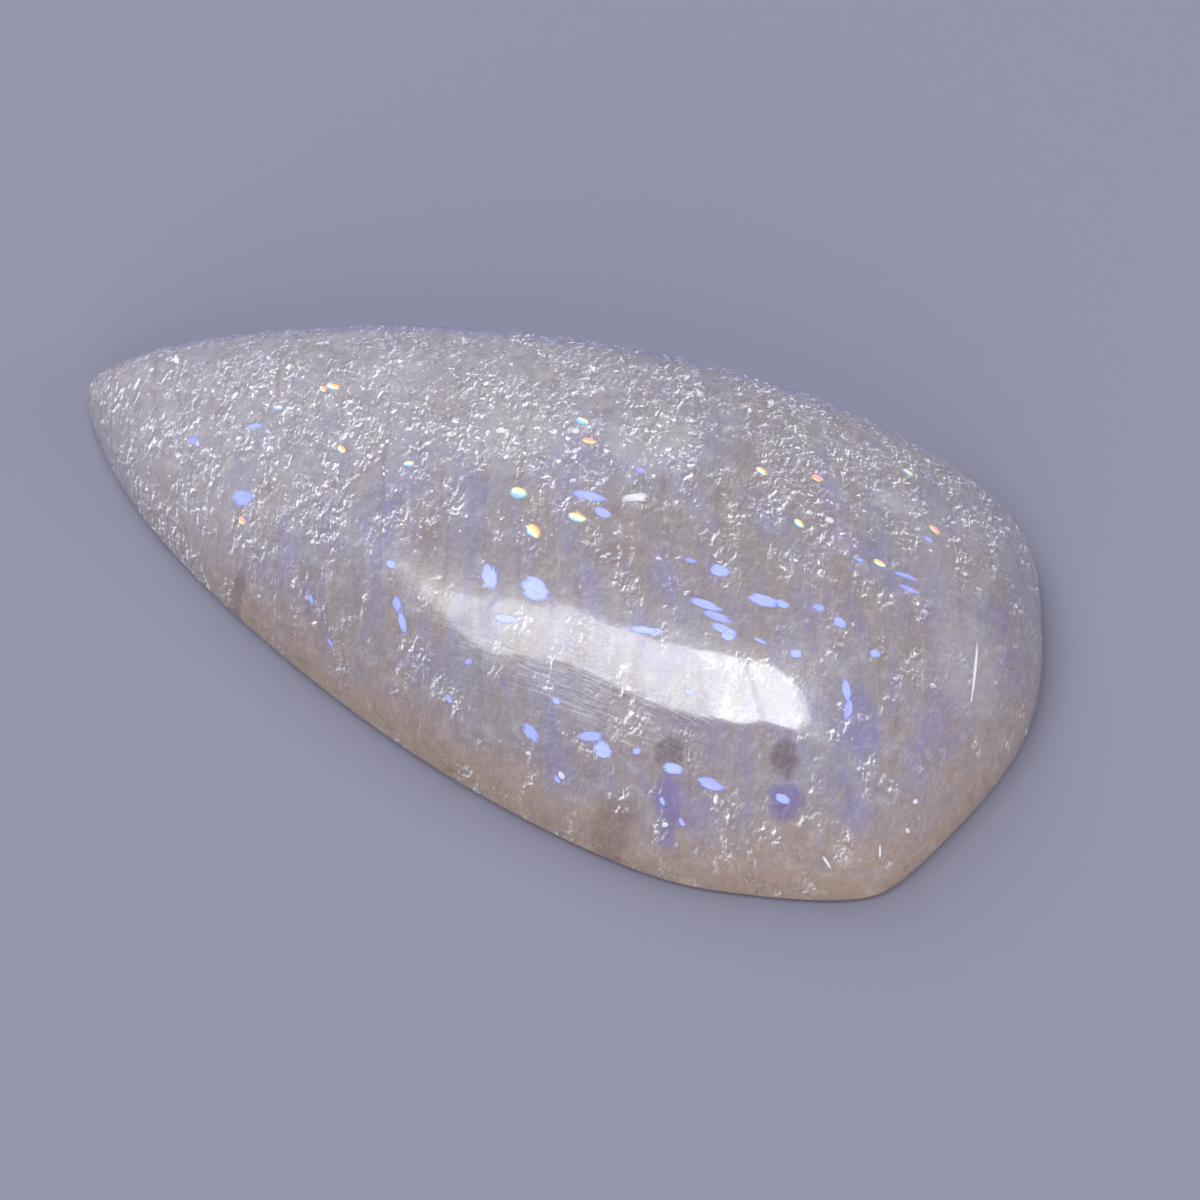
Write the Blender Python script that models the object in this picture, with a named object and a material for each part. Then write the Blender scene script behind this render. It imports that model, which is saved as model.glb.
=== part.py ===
"""One polished rainbow moonstone: a freeform pear cabochon lying on its flat back.

Metres, +Z up. The origin is the middle of the flat back, and the pointed end is towards -X.
"""

import math

import bmesh
import bpy
from mathutils import Vector

MM = 0.001

# Driving sizes of the stone.
LENGTH = 35.7 * MM
WIDTH = 19.6 * MM
HEIGHT = 7.0 * MM
RIM_CHAMFER = 0.3 * MM  # the back's edge is taken off, as on any cabochon

# Corners, in millimetres seen from above, that pull the smooth outline towards them. They start
# at the point and go round past the squarer corner of the wide end. Close pairs make tight turns.
OUTLINE_PULLS = (
    (-18.0, 0.0),
    (-18.1, -0.4),
    (-14.7, -3.7),
    (-9.1, -6.4),
    (-0.1, -9.3),
    (8.5, -10.1),
    (11.4, -9.4),
    (16.0, -7.8),
    (16.7, -6.0),
    (18.7, 0.9),
    (16.4, 5.9),
    (14.7, 9.2),
    (5.3, 10.4),
    (-3.5, 7.8),
    (-11.4, 5.1),
    (-16.9, 1.8),
)

# The dome rises from the rim to a crown over the wide end.
CROWN_ALONG = 2.6 * MM
CROWN_OVAL = (17.0 * MM, 9.6 * MM)  # half sizes of the oval that the dome's level lines turn into
SHOULDER = 2.15  # 2 makes each cross-section an ellipse, and more makes its shoulder fuller

# How finely the solid is faceted.
AROUND = 112  # facets round each level
UPWARD = 24  # levels from the back to the crown
SPAN_STEPS = 24  # points on the outline for each pull, before they are spaced evenly

# Milky grey-lilac feldspar with a high polish.
STONE_COLOUR = (0.42, 0.38, 0.43, 1.0)
STONE_ROUGHNESS = 0.08
STONE_IOR = 1.56


def clear_scene():
    """Leave nothing of the start-up scene."""
    for old in list(bpy.data.objects):
        bpy.data.objects.remove(old)


def smooth_loop(pulls, steps):
    """Points on the closed uniform cubic spline that the pulls shape."""
    points = []
    count = len(pulls)
    for i in range(count):
        before = pulls[i - 1]
        start = pulls[i]
        end = pulls[(i + 1) % count]
        after = pulls[(i + 2) % count]
        for k in range(steps):
            t = k / steps
            near_start = start * (3 * t**3 - 6 * t**2 + 4)
            near_end = end * (-3 * t**3 + 3 * t**2 + 3 * t + 1)
            points.append((before * (1 - t) ** 3 + near_start + near_end + after * t**3) / 6)
    return points


def even_loop(points, count):
    """The same closed curve as a number of points an equal distance apart."""
    closed = points + points[:1]
    runs = [(b - a).length for a, b in zip(closed, closed[1:])]
    pitch = sum(runs) / count
    even = []
    gone = 0.0
    for a, b, run in zip(closed, closed[1:], runs):
        while len(even) < count and len(even) * pitch <= gone + run:
            even.append(a.lerp(b, (len(even) * pitch - gone) / run))
        gone += run
    return even


def stone_outline():
    """The rim seen from above, centred on its own box and brought to the driving sizes."""
    pulls = [Vector(pull) * MM for pull in OUTLINE_PULLS]
    loop = even_loop(smooth_loop(pulls, SPAN_STEPS), AROUND)
    low = Vector((min(p.x for p in loop), min(p.y for p in loop)))
    high = Vector((max(p.x for p in loop), max(p.y for p in loop)))
    middle = (low + high) / 2
    span = high - low
    return [
        Vector(((p.x - middle.x) * LENGTH / span.x, (p.y - middle.y) * WIDTH / span.y)) for p in loop
    ]


def dome_point(rim_point, spread):
    """Where the dome is on the way from its crown, spread 0, out to a rim point, spread 1."""
    crown = Vector((CROWN_ALONG, 0.0))
    arm = rim_point - crown
    way = arm.normalized()
    half_length, half_width = CROWN_OVAL
    oval = way / math.hypot(way.x / half_length, way.y / half_width)
    flat = crown + spread * oval.lerp(arm, spread**2)
    rise = math.sqrt(1.0 - spread**SHOULDER)
    return Vector((flat.x, flat.y, RIM_CHAMFER + (HEIGHT - RIM_CHAMFER) * rise))


def stone_point(rim_point, level):
    """A point of the surface: level 0 is the flat back's edge, 1 the rim, and the rest the dome."""
    if level == 0:
        arm = rim_point - Vector((CROWN_ALONG, 0.0))
        inner = rim_point - RIM_CHAMFER * arm.normalized()
        return Vector((inner.x, inner.y, 0.0))
    climb = (level - 1) / UPWARD
    return dome_point(rim_point, math.cos(climb * math.pi / 2))


def stone_mesh():
    """A capped tube, cut into levels, each of which is moved onto the stone's surface."""
    shape = bmesh.new()
    bmesh.ops.create_cone(
        shape, cap_ends=True, segments=AROUND, radius1=1.0, radius2=1.0, depth=UPWARD
    )
    uprights = [e for e in shape.edges if e.calc_length() > UPWARD / 2]
    bmesh.ops.subdivide_edges(shape, edges=uprights, cuts=UPWARD - 1, use_grid_fill=True)
    top = [f for f in shape.faces if len(f.verts) == AROUND and f.calc_center_median().z > 0]
    crown = bmesh.ops.poke(shape, faces=top)["verts"][0]

    rim = stone_outline()
    for vert in shape.verts:
        turn = math.atan2(vert.co.y, vert.co.x) / math.tau
        level = round(vert.co.z + UPWARD / 2)
        vert.co = stone_point(rim[round(turn * AROUND) % AROUND], level)
    crown.co = (CROWN_ALONG, 0.0, HEIGHT)

    mesh = bpy.data.meshes.new("stone")
    shape.to_mesh(mesh)
    shape.free()
    mesh.shade_smooth()
    mesh.set_sharp_from_angle(angle=math.radians(35.0))
    return mesh


def stone_material():
    """Pale polished feldspar, seen as a surface."""
    material = bpy.data.materials.new("moonstone")
    material.use_nodes = True
    shader = material.node_tree.nodes["Principled BSDF"]
    shader.inputs["Base Color"].default_value = STONE_COLOUR
    shader.inputs["Roughness"].default_value = STONE_ROUGHNESS
    shader.inputs["Metallic"].default_value = 0.0
    shader.inputs["IOR"].default_value = STONE_IOR
    material.diffuse_color = STONE_COLOUR
    return material


def main():
    clear_scene()
    mesh = stone_mesh()
    mesh.materials.append(stone_material())
    stone = bpy.data.objects.new("stone", mesh)
    bpy.context.scene.collection.objects.link(stone)


main()
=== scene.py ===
"""A polished rainbow moonstone, with the cleavage glints and blue platelets that are sealed in it.

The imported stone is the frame. A finer stone of the same shape takes its place, because the real one
keeps the small flats of hand grinding. Its silver flakes lie under the polish, and the coloured films
and white laths are flush with it.
"""

import math
import random

import bmesh
import bpy
import numpy as np
from mathutils import Euler, Matrix, Vector, noise
from mathutils.bvhtree import BVHTree


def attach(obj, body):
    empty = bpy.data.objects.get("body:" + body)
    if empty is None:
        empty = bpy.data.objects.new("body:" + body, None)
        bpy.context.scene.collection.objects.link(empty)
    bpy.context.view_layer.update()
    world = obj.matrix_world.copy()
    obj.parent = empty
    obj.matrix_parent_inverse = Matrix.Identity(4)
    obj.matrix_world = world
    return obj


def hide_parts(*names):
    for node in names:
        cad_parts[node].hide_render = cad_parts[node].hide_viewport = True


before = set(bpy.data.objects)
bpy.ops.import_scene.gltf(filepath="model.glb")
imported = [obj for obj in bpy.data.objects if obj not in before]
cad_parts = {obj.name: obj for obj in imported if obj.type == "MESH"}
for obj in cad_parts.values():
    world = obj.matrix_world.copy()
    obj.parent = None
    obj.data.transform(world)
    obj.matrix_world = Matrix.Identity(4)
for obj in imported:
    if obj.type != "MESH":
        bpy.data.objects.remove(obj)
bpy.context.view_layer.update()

MM = 0.001
TO_MM = 1000.0

# The stone's driving sizes, as its solid has them.
LENGTH = 35.7 * MM
WIDTH = 19.6 * MM
HEIGHT = 7.0 * MM
RIM_CHAMFER = 0.3 * MM
OUTLINE_PULLS = (
    (-18.0, 0.0),
    (-18.1, -0.4),
    (-14.7, -3.7),
    (-9.1, -6.4),
    (-0.1, -9.3),
    (8.5, -10.1),
    (11.4, -9.4),
    (16.0, -7.8),
    (16.7, -6.0),
    (18.7, 0.9),
    (16.4, 5.9),
    (14.7, 9.2),
    (5.3, 10.4),
    (-3.5, 7.8),
    (-11.4, 5.1),
    (-16.9, 1.8),
)
CROWN_ALONG = 2.6 * MM
CROWN_OVAL = (17.0 * MM, 9.6 * MM)
SHOULDER = 2.15

# How finely the polished stone is faceted.
AROUND = 480
UPWARD = 130
SPAN_STEPS = 60

# The crystal's cleavage runs upright through the stone, square to this direction in the back.
CLEAVAGE_TURN = math.radians(25.6)

# The flats that hand grinding left: where each one's middle is, in mm along and across, and how deep
# its wheel cut under the smooth dome.
GRINDING_FLATS = (
    (1.1, -6.3, 0.030),
    (2.8, -6.0, 0.035),
    (4.4, -5.8, 0.045),
    (6.3, -5.8, 0.050),
    (7.9, -5.6, 0.050),
    (9.4, -5.2, 0.050),
    (10.7, -4.8, 0.045),
    (5.0, -7.1, 0.040),
    (6.8, -7.2, 0.045),
    (8.5, -7.2, 0.050),
    (10.1, -6.9, 0.050),
    (11.7, -6.2, 0.045),
)

# Blue platelets: where each one is, in mm along and across, its length and width, and its turn in
# degrees clockwise from the cleavage's square direction.
BLUE_PLATELETS = (
    (2.2, -4.8, 1.0, 0.75, 40),
    (0.6, -4.9, 0.85, 0.5, 80),
    (2.4, -1.1, 1.1, 0.35, 15),
    (3.1, -1.5, 0.6, 0.35, 35),
    (7.5, -1.8, 0.6, 0.45, 20),
    (7.6, -3.1, 1.1, 0.3, 20),
    (8.1, -3.3, 0.95, 0.3, 22),
    (8.5, -3.6, 0.9, 0.3, 25),
    (8.7, -3.7, 0.45, 0.4, 0),
    (9.2, -2.1, 0.95, 0.45, 15),
    (9.8, -1.9, 0.5, 0.28, 20),
    (10.9, -1.4, 0.4, 0.28, 20),
    (11.7, -1.5, 0.5, 0.35, 40),
    (13.1, -1.8, 0.4, 0.3, 0),
    (10.9, -3.2, 0.4, 0.3, 10),
    (12.8, -3.4, 0.75, 0.3, 80),
    (13.1, -3.9, 0.7, 0.3, 100),
    (12.8, 1.4, 0.85, 0.2, 10),
    (13.1, 1.0, 0.7, 0.2, 15),
    (6.1, -4.7, 0.85, 0.25, 8),
    (6.5, -4.6, 0.45, 0.28, 0),
    (1.7, -5.9, 0.8, 0.28, 15),
    (-2.8, -5.4, 0.4, 0.25, 30),
    (-2.1, -6.4, 0.5, 0.3, 80),
    (-1.7, -6.8, 0.75, 0.3, 85),
    (-9.1, -4.3, 0.9, 0.55, 25),
    (-11.9, -2.7, 0.4, 0.28, 20),
    (-9.8, -2.0, 0.6, 0.22, 10),
    (3.8, -8.4, 0.7, 0.42, 60),
    (5.8, -8.0, 0.8, 0.36, 5),
    (6.3, -8.2, 0.65, 0.55, 40),
    (8.7, -7.9, 0.65, 0.36, 20),
    (10.0, -7.8, 0.85, 0.36, 25),
    (8.7, -8.7, 0.30, 0.16, 80),
    (9.5, -8.9, 0.30, 0.18, 70),
    (12.3, -7.2, 0.50, 0.30, 30),
    (1.0, -7.3, 0.30, 0.20, 0),
    (0.7, -8.2, 0.35, 0.20, 60),
    (7.4, -7.9, 0.28, 0.22, 10),
    (5.1, -9.1, 0.30, 0.18, 70),
    (12.8, 3.4, 0.35, 0.20, 20),
    (3.5, 0.6, 0.35, 0.22, 15),
    (11.3, 1.0, 0.32, 0.16, 15),
    (9.7, -3.4, 0.45, 0.14, 25),
    (6.5, -1.9, 0.40, 0.16, 15),
    (-5.3, -6.6, 0.35, 0.22, 75),
    (-4.2, -7.4, 0.30, 0.18, 70),
    (4.3, -7.5, 0.30, 0.20, 40),
    (8.3, -5.8, 0.35, 0.20, 20),
)

# Rainbow flakes: along and across in mm, length, width, turn as above, and which of the rainbow's
# colours is in the middle, from 0, blue, to 1, red.
RAINBOW_FLAKES = (
    (-7.8, 0.1, 0.50, 0.30, 30, 0.55),
    (-8.1, -0.1, 0.35, 0.20, 60, 0.70),
    (-9.3, -1.2, 0.35, 0.22, 20, 0.30),
    (-6.3, -2.2, 0.40, 0.24, 50, 0.60),
    (-3.8, -2.1, 0.35, 0.22, 10, 0.45),
    (0.2, -1.9, 0.55, 0.45, 20, 0.40),
    (1.3, -3.0, 0.60, 0.40, 55, 0.58),
    (2.4, -2.0, 0.60, 0.36, 25, 0.50),
    (0.8, 1.7, 0.45, 0.32, 35, 0.35),
    (1.4, 1.0, 0.50, 0.25, 15, 0.75),
    (7.0, 2.6, 0.40, 0.30, 40, 0.55),
    (8.7, 3.4, 0.45, 0.30, 25, 0.85),
    (9.0, 1.2, 0.40, 0.28, 50, 0.50),
    (11.9, 1.3, 0.45, 0.26, 20, 0.60),
    (11.0, 5.9, 0.40, 0.28, 30, 0.45),
    (12.8, 4.0, 0.45, 0.26, 45, 0.80),
    (-8.8, -4.9, 0.35, 0.25, 60, 0.80),
)

# White laths and bubbles: along and across in mm, length, width, and turn as above.
WHITE_LATHS = (
    (3.8, -0.5, 0.85, 0.32, -8),
    (-14.9, -0.3, 0.22, 0.18, 0),
    (-15.0, 0.5, 0.20, 0.18, 0),
    (-14.2, -2.3, 0.22, 0.18, 0),
    (5.2, -9.0, 0.30, 0.22, 70),
    (9.0, -9.1, 0.22, 0.20, 0),
    (3.9, -8.8, 0.20, 0.16, 0),
    (16.1, -5.6, 0.24, 0.16, 30),
    (16.0, -4.8, 0.22, 0.18, 0),
    (9.8, 1.9, 0.34, 0.28, 20),
    (-1.5, 0.2, 0.34, 0.28, 0),
    (0.8, 1.2, 0.30, 0.26, 0),
    (14.2, -7.8, 0.60, 0.10, 60),
    (15.6, -6.7, 0.50, 0.09, 75),
    (16.0, 0.0, 1.90, 0.13, 92),
)

# Rust and dark specks, in mm along and across.
SPECKS = (
    (-3.9, -3.5), (-3.7, -3.5), (-3.4, -3.4), (-3.3, -3.3), (-3.1, -3.3), (-5.4, -4.9), (-3.2, -5.6),
    (-4.4, -6.6), (-4.2, -7.6), (15.4, -2.5), (-5.8, 1.8), (-3.7, 4.7), (0.0, -7.5), (5.7, -6.3),
    (-0.7, -1.9), (-1.8, -1.4), (-3.9, -0.7), (-1.8, 0.1), (-2.8, -0.3), (2.2, -3.2), (4.9, -5.5),
    (6.4, -5.1), (-0.8, -6.1), (1.3, -8.3), (-0.2, -8.1), (-8.5, -5.8), (2.6, -3.6), (-3.9, -4.9),
    (2.7, -6.8), (8.9, -7.0),
)

# Soft stains and clouds: the middle in mm along and across, half the width and half the height seen
# along the cleavage, in mm, how strong, and the colour on a screen.
CLOUDS = (
    (8.4, -7.5, 0.50, 0.42, 0.55, (112, 84, 98)),
    (11.9, -6.2, 0.45, 0.55, 0.60, (106, 80, 90)),
    (-8.5, -6.3, 0.40, 0.30, 0.45, (120, 96, 90)),
    (4.1, -2.8, 0.60, 0.50, 0.30, (138, 112, 112)),
    (7.3, -9.5, 0.70, 0.50, 0.40, (140, 112, 96)),
    (8.9, -8.7, 0.40, 0.90, 0.50, (132, 120, 208)),
    (12.4, -7.2, 0.60, 0.45, 0.55, (128, 112, 196)),
    (13.6, -4.0, 0.55, 1.10, 0.35, (140, 130, 206)),
    (11.3, 4.2, 0.75, 0.60, 0.55, (224, 218, 220)),
    (15.8, 0.0, 1.10, 1.70, 0.45, (214, 208, 216)),
    (3.2, 2.0, 1.60, 1.50, 0.45, (230, 226, 224)),
    (-1.0, 0.2, 2.20, 1.40, 0.32, (226, 222, 224)),
    (-6.6, 1.4, 1.80, 1.20, 0.28, (226, 222, 226)),
    (13.4, 3.2, 1.60, 2.40, 0.30, (206, 194, 204)),
)

# How much larger a film is made, because its edge frays away.
FRAYED_AWAY = 1.25

# How deep the strokes and the crazing of the polish are.
POLISH_RELIEF = 0.03 * MM

# Where the camera looks from, and what the lens takes in.
CAMERA_PLACE = (40.52 * MM, -79.70 * MM, 121.35 * MM)
CAMERA_AIM = (2.384 * MM, -0.210 * MM, 0.0)
SENSOR_WIDTH = 36.0
FOCAL_LENGTH = 130.5

# What the polish mirrors of the window, for each unit of height over the stone: where along the window
# a pane's middle is, its length, how far its near and far sides are from the window's middle, and its
# radiance.
WINDOW_PANES = (
    (0.20, 0.90, -0.105, 0.070, 1.7),
    (-0.45, 0.40, -0.055, 0.050, 1.2),
    (0.03, 1.34, -0.105, 0.110, 1.0),
    (0.05, 1.30, -0.110, 0.160, 0.8),
    (0.05, 1.40, -0.170, 0.220, 0.7),
    (0.05, 1.50, -0.240, 0.290, 0.5),
    (0.05, 1.60, -0.320, 0.370, 0.4),
    (0.215, 0.09, -0.080, 0.055, 3.5),
    (0.215, 0.04, -0.060, 0.035, 2.5),
    (0.43, 0.10, -0.090, 0.060, 3.0),
    (0.44, 0.05, -0.060, 0.040, 1.5),
    (0.02, 0.16, -0.070, 0.050, 1.2),
)
PANE_GAP = 0.002


class Value:
    """A socket that Python's operators work on: each one adds its Math node."""

    def __init__(self, finish, socket):
        self.finish = finish
        self.socket = socket

    def sum(self, operation, *others, clamp=False):
        return self.finish.add(
            "ShaderNodeMath", {"operation": operation, "use_clamp": clamp}, dict(enumerate((self, *others)))
        )

    def __add__(self, other):
        return self.sum("ADD", other)

    __radd__ = __add__

    def __mul__(self, other):
        return self.sum("MULTIPLY", other)

    __rmul__ = __mul__

    def __sub__(self, other):
        return self.sum("SUBTRACT", other)

    def __rsub__(self, other):
        return self.sum("MULTIPLY", -1.0).sum("ADD", other)

    def __truediv__(self, other):
        return self.sum("DIVIDE", other)

    def __pow__(self, other):
        return self.sum("POWER", other)

    def other(self, output):
        """Another output of the same node."""
        return Value(self.finish, self.socket.node.outputs[output])

    def above(self, low, high):
        """0 under low and 1 over high, with a soft step between."""
        return self.finish.add(
            "ShaderNodeMapRange",
            {"interpolation_type": "SMOOTHSTEP"},
            {"Value": self, "From Min": low, "From Max": high},
        )

    def below(self, low, high):
        """1 under low and 0 over high, with a soft step between."""
        return self.finish.add(
            "ShaderNodeMapRange",
            {"interpolation_type": "SMOOTHSTEP"},
            {"Value": self, "From Min": low, "From Max": high, "To Min": 1.0, "To Max": 0.0},
        )


class Finish:
    """A material and the nodes that feed its one Principled shader."""

    def __init__(self, name, colour, **plain):
        self.material = bpy.data.materials.new(name)
        self.material.use_nodes = True
        self.material.diffuse_color = (*colour, 1.0)
        self.tree = self.material.node_tree
        self.shader = self.tree.nodes["Principled BSDF"]
        self.set(Base_Color=(*colour, 1.0), **plain)

    def feed(self, socket, value):
        if isinstance(value, Value):
            self.tree.links.new(value.socket, socket)
        else:
            socket.default_value = value

    def set(self, **sockets):
        """Give the shader's sockets their plain values or links; _ stands for a space."""
        for name, value in sockets.items():
            self.feed(self.shader.inputs[name.replace("_", " ")], value)

    def add(self, kind, settings=None, sockets=None, output=0):
        """Any node: its settings first, then the values or links of its sockets."""
        node = self.tree.nodes.new(kind)
        for name, value in (settings or {}).items():
            if name == "stops":
                self.set_stops(node.color_ramp, value)
            else:
                setattr(node, name, value)
        for name, value in (sockets or {}).items():
            self.feed(node.inputs[name], value)
        return Value(self, node.outputs[output])

    def set_stops(self, ramp, stops):
        while len(ramp.elements) < len(stops):
            ramp.elements.new(1.0)
        for element, (position, colour) in zip(ramp.elements, stops):
            element.position = position
            element.color = (*colour, 1.0)

    def place(self):
        """The point on the piece, in millimetres."""
        here = self.add("ShaderNodeTexCoord", output="Object")
        return self.vector("SCALE", here, Scale=TO_MM)

    def vector(self, operation, first, second=None, output=0, **sockets):
        values = {0: first, **sockets}
        if second is not None:
            values[1] = second
        return self.add("ShaderNodeVectorMath", {"operation": operation}, values, output)

    def along(self, point, direction):
        return self.vector("DOT_PRODUCT", point, direction, output="Value")

    def mix(self, share, first, second, kind="MIX"):
        """Colour first where share is 0, and second where it is 1."""
        return self.add(
            "ShaderNodeMix",
            {"data_type": "RGBA", "blend_type": kind},
            {0: share, 6: self.colour(first), 7: self.colour(second)},
            output=2,
        )

    def colour(self, value):
        return value if isinstance(value, Value) else (*value, 1.0)

    def noise(self, point, scale, detail=2.0, roughness=0.5, distortion=0.0):
        return self.add(
            "ShaderNodeTexNoise",
            {},
            {
                "Vector": point,
                "Scale": scale,
                "Detail": detail,
                "Roughness": roughness,
                "Distortion": distortion,
            },
        )

    def cells(self, point, scale, output, spread=1.0):
        return self.add(
            "ShaderNodeTexVoronoi",
            {},
            {"Vector": point, "Scale": scale, "Randomness": spread},
            output,
        )


def from_screen(red, green, blue):
    """A colour given as it looks on a screen, 0 to 255, as the light that a shader works in."""
    return tuple(
        c / 12.92 if c <= 0.04045 else ((c + 0.055) / 1.055) ** 2.4
        for c in (red / 255, green / 255, blue / 255)
    )


def smooth_loop(pulls, steps):
    """Points on the closed uniform cubic spline that the pulls shape."""
    points = []
    count = len(pulls)
    for i in range(count):
        before = pulls[i - 1]
        start = pulls[i]
        end = pulls[(i + 1) % count]
        after = pulls[(i + 2) % count]
        for k in range(steps):
            t = k / steps
            near_start = start * (3 * t**3 - 6 * t**2 + 4)
            near_end = end * (-3 * t**3 + 3 * t**2 + 3 * t + 1)
            points.append((before * (1 - t) ** 3 + near_start + near_end + after * t**3) / 6)
    return points


def even_loop(points, count):
    """The same closed curve as a number of points an equal distance apart."""
    closed = points + points[:1]
    runs = [(b - a).length for a, b in zip(closed, closed[1:])]
    pitch = sum(runs) / count
    even = []
    gone = 0.0
    for a, b, run in zip(closed, closed[1:], runs):
        while len(even) < count and len(even) * pitch <= gone + run:
            even.append(a.lerp(b, (len(even) * pitch - gone) / run))
        gone += run
    return even


def stone_outline():
    """The rim seen from above, centred on its own box and brought to the driving sizes."""
    pulls = [Vector(pull) * MM for pull in OUTLINE_PULLS]
    loop = even_loop(smooth_loop(pulls, SPAN_STEPS), AROUND)
    low = Vector((min(p.x for p in loop), min(p.y for p in loop)))
    high = Vector((max(p.x for p in loop), max(p.y for p in loop)))
    middle = (low + high) / 2
    span = high - low
    return [
        Vector(((p.x - middle.x) * LENGTH / span.x, (p.y - middle.y) * WIDTH / span.y)) for p in loop
    ]


def dome_point(rim_point, spread):
    """Where the dome is on the way from its crown, spread 0, out to a rim point, spread 1."""
    crown = Vector((CROWN_ALONG, 0.0))
    arm = rim_point - crown
    way = arm.normalized()
    half_length, half_width = CROWN_OVAL
    oval = way / math.hypot(way.x / half_length, way.y / half_width)
    flat = crown + spread * oval.lerp(arm, spread**2)
    rise = math.sqrt(1.0 - spread**SHOULDER)
    return Vector((flat.x, flat.y, RIM_CHAMFER + (HEIGHT - RIM_CHAMFER) * rise))


def stone_point(rim_point, level):
    """A point of the surface: level 0 is the flat back's edge, 1 the rim, and the rest the dome."""
    if level == 0:
        arm = rim_point - Vector((CROWN_ALONG, 0.0))
        inner = rim_point - RIM_CHAMFER * arm.normalized()
        return Vector((inner.x, inner.y, 0.0))
    climb = (level - 1) / UPWARD
    return dome_point(rim_point, math.cos(climb * math.pi / 2))


def smooth_stone():
    """A capped tube, cut into levels, each of which is moved onto the stone's surface."""
    shape = bmesh.new()
    bmesh.ops.create_cone(
        shape, cap_ends=True, segments=AROUND, radius1=1.0, radius2=1.0, depth=UPWARD
    )
    uprights = [e for e in shape.edges if e.calc_length() > UPWARD / 2]
    bmesh.ops.subdivide_edges(shape, edges=uprights, cuts=UPWARD - 1, use_grid_fill=True)
    top = [f for f in shape.faces if len(f.verts) == AROUND and f.calc_center_median().z > 0]
    crown = bmesh.ops.poke(shape, faces=top)["verts"][0]

    rim = stone_outline()
    for vert in shape.verts:
        turn = math.atan2(vert.co.y, vert.co.x) / math.tau
        level = round(vert.co.z + UPWARD / 2)
        vert.co = stone_point(rim[round(turn * AROUND) % AROUND], level)
    crown.co = (CROWN_ALONG, 0.0, HEIGHT)
    shape.normal_update()
    return shape


def grind_flats(shape):
    """Take the dome down to each flat's plane where it stands proud of it."""
    tree = BVHTree.FromBMesh(shape)
    shape.verts.ensure_lookup_table()
    for along, across, depth in GRINDING_FLATS:
        seat, normal, _, _ = tree.ray_cast(Vector((along * MM, across * MM, 0.05)), Vector((0, 0, -1)))
        plane = seat - normal * depth * MM
        for vert in shape.verts:
            proud = (vert.co - plane).dot(normal)
            if proud > 0.0:
                vert.co -= proud * normal
    shape.normal_update()


def finished_piece(name, mesh, finish):
    """A mesh as a piece of the stone that rides with it."""
    mesh.materials.clear()
    mesh.materials.append(finish.material)
    piece = bpy.data.objects.new(name, mesh)
    bpy.context.scene.collection.objects.link(piece)
    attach(piece, "root")
    return piece


def make_stone():
    shape = smooth_stone()
    grind_flats(shape)
    mesh = bpy.data.meshes.new("polished_stone")
    shape.to_mesh(mesh)
    tree = BVHTree.FromBMesh(shape)
    shape.free()
    mesh.shade_smooth()
    mesh.set_sharp_from_angle(angle=math.radians(30.0))
    piece = finished_piece("polished_stone", mesh, moonstone_finish())
    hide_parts("stone")
    return tree


def painted_relief_light(stone, grain, scale, curl=0.0):
    """Painted light and shade of a crumpled sheet: how far it leans to a fixed light at a point, its rise
    over a short step that way.
    """
    step = 0.22 / scale
    lit_side = stone.vector("ADD", grain, (-0.55 * step, 0.80 * step, 0.30 * step))
    here = stone.noise(grain, scale, detail=2.0, roughness=0.6, distortion=curl)
    there = stone.noise(lit_side, scale, detail=2.0, roughness=0.6, distortion=curl)
    return here - there


def milky_body(stone, point, u, v, height):
    """The smooth feldspar between its inclusions: lilac and fawn clouds drawn out along the cleavage."""
    band = stone.add("ShaderNodeCombineXYZ", {}, {"X": u, "Y": v * 0.35, "Z": height * 0.5})
    sheet = stone.add("ShaderNodeCombineXYZ", {}, {"X": u, "Y": v * 0.10, "Z": height * 0.25})
    cloud = stone.noise(band, 0.75, detail=3.0, roughness=0.65)
    body = stone.mix(
        cloud.above(0.38, 0.62), from_screen(184, 172, 168), from_screen(182, 176, 188)
    )
    white = v.above(-3.5, 1.0) * u.below(-2.0, 7.0)
    body = stone.mix(white * 0.45, body, from_screen(214, 210, 218))
    mottle = stone.noise(point, 1.9, detail=3.0, roughness=0.68)
    body = stone.mix(mottle.above(0.50, 0.72) * 0.45, body, from_screen(226, 222, 226))
    body = stone.mix(mottle.below(0.28, 0.48) * 0.35, body, from_screen(156, 134, 142))
    streak = stone.noise(sheet, 2.4, detail=3.0, roughness=0.65)
    body = stone.mix(streak.above(0.56, 0.68) * 0.28, body, from_screen(150, 130, 128))
    body = stone.mix(streak.below(0.32, 0.44) * 0.25, body, from_screen(216, 212, 224))
    return body


def cream_wall_and_painted_warm_light(stone, body, point, height):
    """The low wall on the near side, where the stone is thin: cream, partly its own warm tone and partly
    painted warm light coming up through the thin edge, with rusty stains and wisps.
    """
    near = stone.along(point, (0.20, -0.98, 0.0)).above(-2.0, 7.0)
    ragged = stone.noise(point, 0.9, detail=3.0, roughness=0.65)
    wall = (height + ragged * 3.4 - 1.0).below(0.6, 4.6) * near
    # The cream is partly the stone's own tone and partly painted warm light shining up through the thin
    # edge.
    body = stone.mix(wall * 0.85, body, from_screen(212, 182, 152))
    stain = stone.noise(point, 1.5, detail=2.0, roughness=0.7)
    body = stone.mix(stain.above(0.56, 0.72) * wall * 0.45, body, from_screen(150, 118, 100))
    return stone.mix(stain.below(0.30, 0.44) * wall * 0.55, body, from_screen(236, 220, 198))


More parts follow.
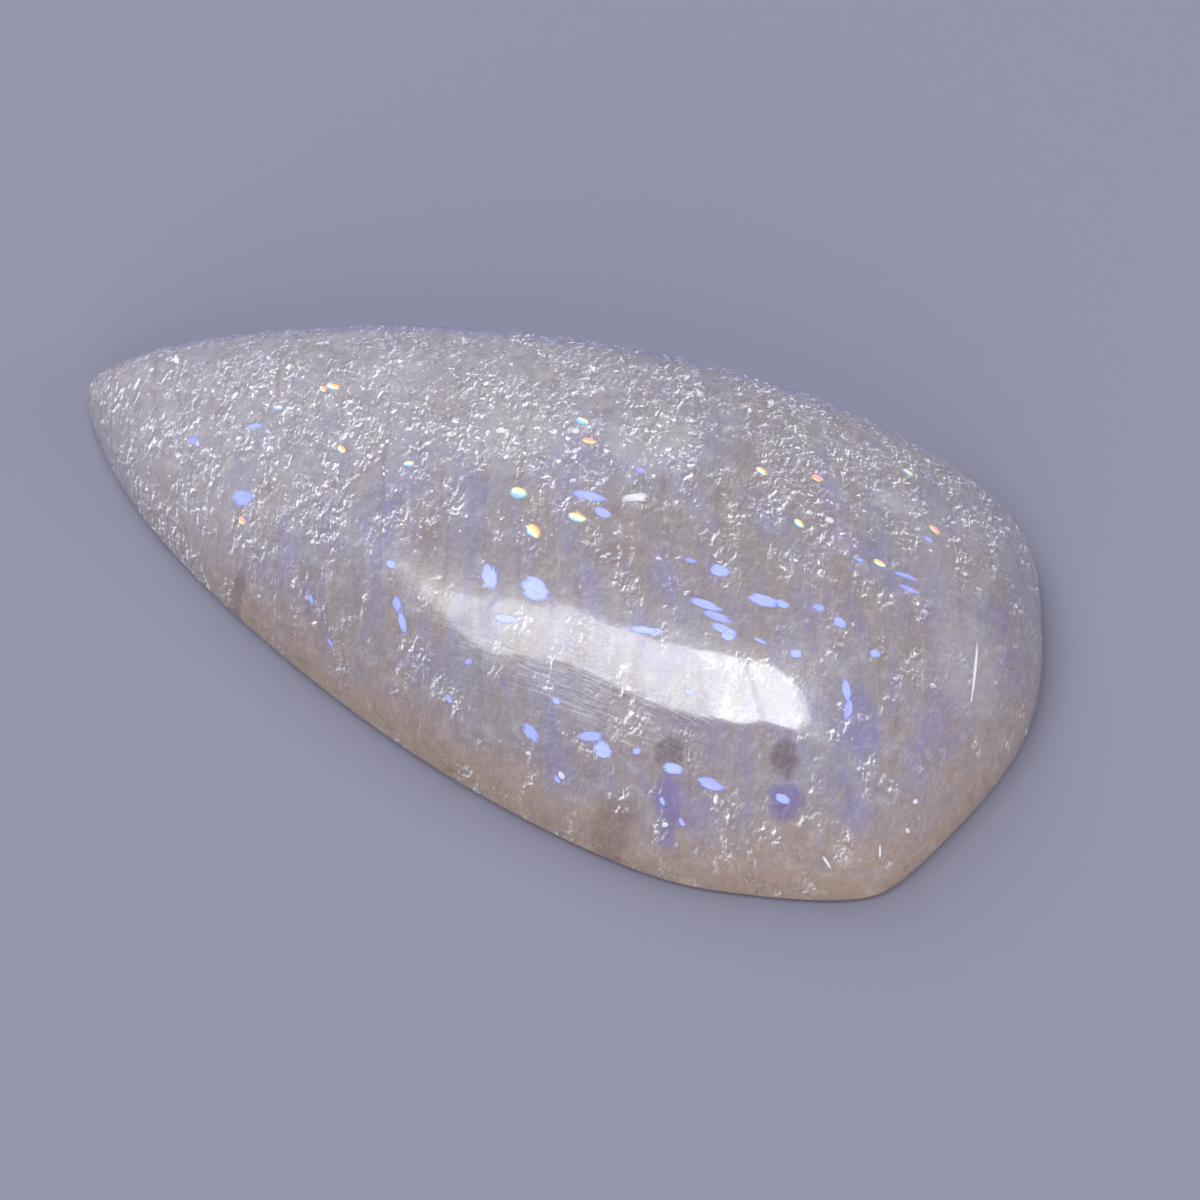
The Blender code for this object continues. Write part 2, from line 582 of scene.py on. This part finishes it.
def painted_violet_sheen(stone, body, u, v, height):
    """Painted blue and violet sheen: faint drips along the cleavage on the near half, and a band on the far
    rim.
    """
    drip = stone.add("ShaderNodeCombineXYZ", {}, {"X": u, "Y": v * 0.42, "Z": height * 0.42})
    sheen = stone.noise(drip, 0.85, detail=3.0, roughness=0.7)
    share = sheen.above(0.44, 0.74) * v.below(-1.5, 3.0) * height.above(1.6, 3.4)
    body = stone.mix(share * 0.50, body, from_screen(158, 150, 216))
    # The far rim's band is a painted sheen, set by which way the surface faces.
    facing = stone.add("ShaderNodeTexCoord", output="Normal")
    away = stone.along(facing, (-math.sin(CLEAVAGE_TURN), math.cos(CLEAVAGE_TURN), 0.0))
    painted_rim_sheen = away.above(0.50, 0.68) * away.below(0.78, 0.96)
    return stone.mix(painted_rim_sheen * 0.65, body, from_screen(136, 136, 226))


def soft_clouds(stone, body, u, v):
    """The stains and clouds that have a place of their own."""
    ragged = stone.noise(stone.place(), 2.4, detail=2.0, roughness=0.6) * 1.4 - 0.7
    for along, across, wide, tall, strength, tone in CLOUDS:
        middle_u = math.cos(CLEAVAGE_TURN) * along + math.sin(CLEAVAGE_TURN) * across
        middle_v = math.cos(CLEAVAGE_TURN) * across - math.sin(CLEAVAGE_TURN) * along
        reach = ((u - middle_u) / wide) ** 2.0 + ((v - middle_v) / tall) ** 2.0
        share = (reach + ragged).below(0.3, 1.5) * strength
        body = stone.mix(share, body, from_screen(*tone))
    return body


def glowing_blobs(stone, body, point, v):
    """Soft pale grains that hold the light, in the far half."""
    blob = stone.cells(point, 1.5, "Color")
    picked = stone.add("ShaderNodeSeparateColor", {}, {"Color": blob})
    edge = stone.noise(point, 3.0, detail=2.0) * 0.5
    glow = (blob.other("Distance") + edge).below(0.25, 0.75) * picked.above(0.40, 0.80)
    warm = picked.other("Green").above(0.40, 0.60)
    tint = stone.mix(warm, from_screen(230, 228, 236), from_screen(238, 230, 204))
    return stone.mix(glow * v.above(-4.0, 2.0) * 0.60, body, tint)


def moonstone_finish():
    """Milky feldspar under a high polish, with painted glints and painted shade on its crumpled cleavage."""
    stone = Finish(
        "milky_moonstone",
        from_screen(168, 160, 172),
        Roughness=0.05,
        IOR=1.56,
        Specular_IOR_Level=0.5,
        Transmission_Weight=0.45,
        Subsurface_Weight=0.6,
        Subsurface_Radius=(1.0, 0.85, 0.8),
        Subsurface_Scale=1.0 * MM,
        Coat_Roughness=0.03,
        Coat_IOR=1.56,
        Emission_Strength=1.0,
    )
    point = stone.place()
    u = stone.along(point, (math.cos(CLEAVAGE_TURN), math.sin(CLEAVAGE_TURN), 0.0))
    v = stone.along(point, (-math.sin(CLEAVAGE_TURN), math.cos(CLEAVAGE_TURN), 0.0))
    height = stone.along(point, (0.0, 0.0, 1.0))

    body = milky_body(stone, point, u, v, height)
    body = glowing_blobs(stone, body, point, v)
    body = cream_wall_and_painted_warm_light(stone, body, point, height)
    body = painted_violet_sheen(stone, body, u, v, height)
    body = soft_clouds(stone, body, u, v)

    grain = stone.add("ShaderNodeCombineXYZ", {}, {"X": u, "Y": v * 0.62, "Z": height * 0.62})
    patch = stone.noise(grain, 1.1, detail=2.0, roughness=0.6)
    field = (v + stone.noise(point, 0.35) * 9.0).above(-1.0, 6.5)
    crowd = (patch + field * 0.14 - 0.02).above(0.51, 0.68)
    body = stone.mix(crowd * 0.30, body, from_screen(206, 200, 206))
    # Painted light and shade on the crumpled cleavage: near white where it leans to a fixed light, darker
    # where it leans away.
    lean = painted_relief_light(stone, grain, 3.6, curl=0.6) + painted_relief_light(stone, grain, 7.5) * 0.6
    body = stone.mix(lean.below(-0.12, -0.01) * (crowd * 0.22 + 0.08), body, from_screen(122, 112, 118))
    painted_glint = lean.above(0.02, 0.10) * (crowd * 0.72 + 0.10)
    body = stone.mix(painted_glint, body, from_screen(244, 243, 248))
    stone.set(Base_Color=body)
    # The brightest glints also get a faint light of their own, a painted glow, though they are no lamp.
    painted_glint_glow = lean.above(0.09, 0.16) * crowd
    stone.set(Emission_Color=stone.mix(painted_glint_glow, (0.0, 0.0, 0.0), (0.36, 0.36, 0.38)))

    stone.set(Coat_Weight=worn_polish(stone, point, u, v, height))
    return stone


def worn_polish(stone, point, u, v, height):
    """The polish's own fine bumps: grinding strokes under the ridge, and a crazed skin over it."""
    along = stone.along(point, (1.0, 0.0, 0.0))
    across = stone.along(point, (0.0, 1.0, 0.0))
    strokes = stone.add("ShaderNodeCombineXYZ", {}, {"X": along * 0.8, "Y": across * 9.0, "Z": height * 2.0})
    scratch = stone.noise(strokes, 1.0, detail=2.0, roughness=0.7)
    scratched = across.below(-6.5, -5.9) * along.below(8.5, 11.0)
    crazed = stone.noise(point, 6.0, detail=2.0, roughness=0.65)
    skin = scratch * (scratched * 0.7 + 0.06) + crazed * 0.35
    bump = stone.add(
        "ShaderNodeBump", {}, {"Strength": 1.0, "Distance": POLISH_RELIEF, "Height": skin}
    )
    stone.set(Normal=bump)
    block = stone.add("ShaderNodeCombineXYZ", {}, {"X": u * 1.6, "Y": v * 0.3, "Z": height * 0.3})
    drawn = stone.noise(block, 1.0, detail=1.0, roughness=0.6)
    return 0.75 - drawn.below(0.38, 0.50) * 0.35


def flake_mesh(name, blank, places, tones):
    """One mesh of as many copies of the blank as there are places."""
    seed = bpy.data.objects.new(name, blank)
    bpy.context.scene.collection.objects.link(seed)
    row = seed.modifiers.new("row", "ARRAY")
    row.count = len(places)
    row.use_relative_offset = False
    row.use_constant_offset = True
    row.constant_offset_displace = (0.0, 0.0, 0.0)
    bpy.context.view_layer.update()
    depsgraph = bpy.context.evaluated_depsgraph_get()
    mesh = bpy.data.meshes.new_from_object(seed.evaluated_get(depsgraph))
    mesh.name = name
    bpy.data.objects.remove(seed)

    count = len(places)
    per_flake = len(mesh.vertices) // count
    corners = np.empty(len(mesh.vertices) * 3)
    mesh.vertices.foreach_get("co", corners)
    corners = corners.reshape(count, per_flake, 3)
    turns = np.array([[row[:3] for row in place[:3]] for place in places])
    shifts = np.array([[row[3] for row in place[:3]] for place in places])
    moved = np.einsum("nij,nkj->nki", turns, corners) + shifts[:, None, :]
    mesh.vertices.foreach_set("co", moved.ravel())
    in_flake = mesh.attributes.new("in_flake", "FLOAT_VECTOR", "POINT")
    in_flake.data.foreach_set("vector", corners.ravel())
    tone = mesh.attributes.new("tone", "FLOAT", "POINT")
    tone.data.foreach_set("value", np.repeat(np.array(tones, dtype=np.float32), per_flake))
    mesh.update()
    return mesh


def plate_blank(sides, thickness, crooked):
    """A thin plate a unit across, with crooked corners."""
    shape = bmesh.new()
    bmesh.ops.create_cone(
        shape, cap_ends=True, segments=sides, radius1=0.5, radius2=0.42, depth=thickness
    )
    for vert in shape.verts:
        turn = math.atan2(vert.co.y, vert.co.x)
        reach = 1.0 + crooked * math.sin(2.0 * turn + 0.7) + crooked * math.cos(3.0 * turn)
        vert.co.x *= reach
        vert.co.y *= reach
    mesh = bpy.data.meshes.new("blank")
    shape.to_mesh(mesh)
    shape.free()
    return mesh


def crumb_blank():
    """A crumpled scrap of cleavage a unit across: a flattened ball with its corners pushed about."""
    draw = random.Random(3)
    shape = bmesh.new()
    bmesh.ops.create_icosphere(shape, subdivisions=1, radius=0.5)
    for vert in shape.verts:
        vert.co.z = vert.co.z * 0.28 + draw.uniform(-0.14, 0.14)
        vert.co.x *= draw.uniform(0.6, 1.15)
        vert.co.y *= draw.uniform(0.6, 1.15)
    mesh = bpy.data.meshes.new("blank")
    shape.to_mesh(mesh)
    shape.free()
    mesh.shade_smooth()
    return mesh


def under_the_dome(tree, along, across, depth):
    """The point at a depth in mm under the dome, and which way the dome faces there."""
    found = tree.ray_cast(Vector((along * MM, across * MM, 0.05)), Vector((0, 0, -1)))
    seat, normal = found[0], found[1]
    if seat is None:
        return None, None
    return seat - normal * depth * MM, normal


def flake_place(point, normal, size, tilt, turn, lean):
    """A flake's place: laid along the dome, tilted by lean in the direction turn, in mm sizes."""
    flat = Vector((0, 0, 1)).rotation_difference(normal).to_matrix()
    tip = Euler((tilt * math.cos(lean), tilt * math.sin(lean), turn)).to_matrix()
    scale = Matrix.Diagonal(Vector(size) * MM)
    return Matrix.Translation(point) @ (flat @ tip @ scale).to_4x4()


def crowding(place):
    """How crowded the cleavage scraps are at a point, from 0 to 1."""
    along, across = place.x / MM, place.y / MM
    upward = -math.sin(CLEAVAGE_TURN) * along + math.cos(CLEAVAGE_TURN) * across
    clump = noise.fractal(Vector((along * 0.55, across * 0.55, 3.0)), 0.9, 2.2, 3)
    return 0.35 + 0.9 * clump + 0.10 * min(upward, 3.0)


def make_silver_flakes(tree, name, blank, count, seed, widths, lean_most):
    draw = random.Random(seed)
    places = []
    tones = []
    while len(places) < count:
        along = draw.uniform(-18.0, 18.0)
        across = draw.uniform(-10.0, 10.0)
        depth = 0.12 + 1.0 * draw.random() ** 1.6
        point, normal = under_the_dome(tree, along, across, depth)
        if point is None or point.z < 0.25 * MM or draw.random() > crowding(point):
            continue
        size = widths[0] + (widths[1] - widths[0]) * draw.random() ** 2.5
        shape = (size, size * draw.uniform(0.45, 1.0), size)
        lean = math.radians(draw.gauss(0.0, lean_most))
        places.append(
            flake_place(point, normal, shape, lean, draw.uniform(0.0, math.tau), draw.uniform(0.0, math.tau))
        )
        tones.append(draw.random())
    finish = Finish(name, (0.9, 0.9, 0.94), Metallic=1.0, Roughness=0.12)
    mesh = flake_mesh(name, blank, places, tones)
    finished_piece(name, mesh, finish)


def laid_flakes(tree, name, rows, finish, thickness=0.4):
    """Flakes laid in the dome, one for each row of along, across, length, width, turn and tone."""
    places = []
    tones = []
    for along, across, length, width, turn, tone in rows:
        point, normal = under_the_dome(tree, along, across, 0.010)
        spin = CLEAVAGE_TURN - math.radians(turn)
        size = (length * FRAYED_AWAY, width * FRAYED_AWAY, thickness)
        places.append(flake_place(point, normal, size, 0.0, spin, 0.0))
        tones.append(tone)
    mesh = flake_mesh(name, plate_blank(9, 0.10, 0.10), places, tones)
    finished_piece(name, mesh, finish)


def film_finish(name, colour, fraying, strength, glow):
    """A film on a cleavage face: streaky along its length, frayed out to nothing at its edge, and with a
    faint painted glow.
    """
    film = Finish(name, (0.8, 0.8, 0.8), Roughness=0.3, IOR=1.56, Coat_Weight=1.0, Coat_Roughness=0.03)
    tone = film.add("ShaderNodeAttribute", {"attribute_name": "tone"}, output="Fac")
    place = film.add("ShaderNodeAttribute", {"attribute_name": "in_flake"}, output="Vector")
    lengthwise = film.along(place, (1.0, 0.0, 0.0))
    sideways = film.along(place, (0.0, 1.0, 0.0))
    grain = film.add(
        "ShaderNodeCombineXYZ", {}, {"X": lengthwise * 1.6, "Y": sideways * 7.0, "Z": tone * 37.0}
    )
    silk = film.noise(grain, 1.0, detail=3.0, roughness=0.6)
    reach = ((lengthwise * 2.0) ** 2.0 + (sideways * 2.0) ** 2.0) ** 0.5
    frayed = (reach + (silk - 0.5) * fraying).below(0.55, 1.0)
    tint = colour(film, tone, sideways, silk)
    # The tint also goes into the film's own faint light: a painted glow that stands in for its flash, though
    # it is no lamp.
    film.set(Base_Color=tint, Emission_Color=tint, Emission_Strength=glow, Coat_IOR=1.56)
    film.set(Alpha=frayed * strength)
    return film


def blue_tint(film, tone, sideways, silk):
    return film.mix(
        tone * 0.6 + silk.above(0.35, 0.65) * 0.4, from_screen(142, 146, 232), from_screen(176, 192, 255)
    )


def white_tint(film, tone, sideways, silk):
    return film.mix(silk.above(0.35, 0.65), from_screen(208, 204, 214), from_screen(244, 243, 248))


def rainbow_tint(film, tone, sideways, silk):
    stops = (
        (0.05, from_screen(150, 156, 250)),
        (0.30, from_screen(150, 232, 250)),
        (0.45, from_screen(244, 246, 236)),
        (0.62, from_screen(250, 238, 130)),
        (0.80, from_screen(250, 184, 140)),
        (0.95, from_screen(248, 170, 196)),
    )
    return film.add(
        "ShaderNodeValToRGB", {"stops": stops}, {"Fac": tone + sideways * 0.8 + (silk - 0.5) * 0.5}
    )


def make_films(tree):
    draw = random.Random(5)
    blue = [(*row, min(1.0, row[3] + draw.uniform(0.0, 0.5))) for row in BLUE_PLATELETS]
    # The last number of each finish is the strength of its painted glow.
    laid_flakes(tree, "blue_platelets", blue, film_finish("blue_schiller", blue_tint, 1.2, 0.9, 0.10))
    white = [(*row, draw.random()) for row in WHITE_LATHS]
    laid_flakes(tree, "white_laths", white, film_finish("white_cleavage", white_tint, 0.9, 0.8, 0.05))
    laid_flakes(
        tree, "rainbow_flakes", RAINBOW_FLAKES, film_finish("rainbow_film", rainbow_tint, 0.8, 0.85, 0.12)
    )


def make_specks(tree):
    """Rusty and dark grains: the ones with a place of their own, and finer ones strewn about."""
    draw = random.Random(23)
    spots = list(SPECKS) + [(draw.uniform(-16.0, 17.0), draw.uniform(-9.0, 9.0)) for _ in range(160)]
    places = []
    tones = []
    for number, (along, across) in enumerate(spots):
        point, normal = under_the_dome(tree, along, across, 0.01)
        if point is None:
            continue
        named = number < len(SPECKS)
        width = draw.uniform(0.10, 0.17) if named else draw.uniform(0.04, 0.09)
        size = (width, width * draw.uniform(0.5, 0.9), 0.04)
        places.append(flake_place(point, normal, size, 0.0, draw.uniform(0.0, math.tau), 0.0))
        tones.append(draw.random())
    grain = Finish("rusty_specks", (0.12, 0.05, 0.04), Roughness=0.5, Coat_Weight=0.8, Coat_Roughness=0.03)
    tone = grain.add("ShaderNodeAttribute", {"attribute_name": "tone"}, output="Fac")
    mottle = grain.noise(grain.place(), 12.0)
    colour = grain.mix(tone * 0.8 + mottle * 0.2, from_screen(96, 72, 78), from_screen(150, 78, 52))
    grain.set(Base_Color=colour)
    mesh = flake_mesh("rusty_specks", crumb_blank(), places, tones)
    finished_piece("rusty_specks", mesh, grain)


def make_floor():
    shape = bmesh.new()
    bmesh.ops.create_grid(shape, x_segments=1, y_segments=1, size=1.2)
    mesh = bpy.data.meshes.new("floor")
    shape.to_mesh(mesh)
    shape.free()
    floor = bpy.data.objects.new("floor", mesh)
    bpy.context.scene.collection.objects.link(floor)
    finish = Finish("pale_paper", from_screen(128, 128, 145), Roughness=0.8)
    mesh.materials.append(finish.material)


def make_lamp(name, place, aim, size, colour, watts):
    """A soft rectangular lamp; size is its width and its height."""
    data = bpy.data.lights.new(name, "AREA")
    data.shape = "RECTANGLE"
    data.size, data.size_y = size
    data.color = colour
    data.energy = watts
    lamp = bpy.data.objects.new(name, data)
    lamp.location = place
    lamp.rotation_euler = (Vector(aim) - Vector(place)).to_track_quat("-Z", "Y").to_euler()
    bpy.context.scene.collection.objects.link(lamp)
    return lamp


def make_camera():
    data = bpy.data.cameras.new("camera")
    data.sensor_width = SENSOR_WIDTH
    data.lens = FOCAL_LENGTH
    data.clip_start = 0.01
    camera = bpy.data.objects.new("camera", data)
    camera.location = CAMERA_PLACE
    camera.rotation_euler = (Vector(CAMERA_AIM) - Vector(CAMERA_PLACE)).to_track_quat("-Z", "Y").to_euler()
    bpy.context.scene.collection.objects.link(camera)
    bpy.context.scene.camera = camera


def make_window():
    """A long window overhead, on the camera's side: sharp on its near side and hazy on its far side."""
    height = 0.5
    middle = Vector((-0.10, -0.355, 1.0)) * height
    direction = Vector((1.0, 0.67, 0.0)).normalized()
    back = middle.normalized()
    side = (direction - back * direction.dot(back)).normalized()
    over = back.cross(side)
    turn = Matrix((side, over, back)).transposed().to_euler()
    for step, (shift, length, near, far, radiance) in enumerate(WINDOW_PANES):
        size = (length * height, (far - near) * height)
        place = middle + (side * shift + over * (near + far) / 2) * height - back * PANE_GAP * step
        watts = radiance * math.pi * size[0] * size[1]
        pane = make_lamp(f"window_{step}", place, (0, 0, 0), size, (0.95, 0.97, 1.0), watts)
        pane.rotation_euler = turn
        pane.visible_diffuse = False
        pane.visible_transmission = False
    daylight = make_lamp("daylight", middle, (0, 0, 0), (0.56, 0.12), (0.95, 0.97, 1.0), 1.9)
    daylight.rotation_euler = turn
    daylight.visible_glossy = False


def make_inner_lamp(name, place, size, watts):
    """A lamp that lights what is in the stone and isn't mirrored by its polish."""
    lamp = make_lamp(name, place, (0, 0, 0), size, (0.97, 0.98, 1.0), watts)
    lamp.visible_diffuse = False
    lamp.visible_glossy = False


def make_lights():
    make_window()
    sky = make_lamp("sky", (-0.35, 0.25, 0.45), (0, 0, 0), (0.5, 0.5), (0.93, 0.95, 1.0), 2.1)
    sky.visible_glossy = False
    front = make_lamp("front", (0.15, -0.55, 0.25), (0, 0, 0), (0.6, 0.4), (1.0, 0.96, 0.92), 2.1)
    front.visible_glossy = False
    right = make_lamp("right", (0.50, 0.05, 0.22), (0, 0, 0), (0.4, 0.4), (1.0, 0.97, 0.95), 1.1)
    right.visible_glossy = False
    make_inner_lamp("inner_sky", (0.0, 0.0, 0.9), (2.4, 2.4), 12.0)
    make_inner_lamp("inner_left", (-0.25, 0.10, 0.40), (0.40, 0.40), 2.6)
    make_inner_lamp("inner_right", (0.30, -0.20, 0.40), (0.35, 0.35), 2.0)
    make_inner_lamp("inner_back", (0.05, 0.40, 0.30), (0.40, 0.30), 2.0)
    world = bpy.data.worlds.new("studio")
    world.use_nodes = True
    shade = world.node_tree.nodes["Background"]
    shade.inputs["Color"].default_value = (0.60, 0.61, 0.72, 1.0)
    shade.inputs["Strength"].default_value = 0.55
    bpy.context.scene.world = world
    bpy.context.scene.view_settings.view_transform = "Standard"


make_camera()
make_lights()
make_floor()
stone_tree = make_stone()
make_silver_flakes(stone_tree, "silver_plates", plate_blank(5, 0.06, 0.16), 7000, 71, (0.06, 0.30), 24.0)
make_silver_flakes(stone_tree, "silver_crumbs", crumb_blank(), 8000, 19, (0.10, 0.42), 30.0)
make_films(stone_tree)
make_specks(stone_tree)
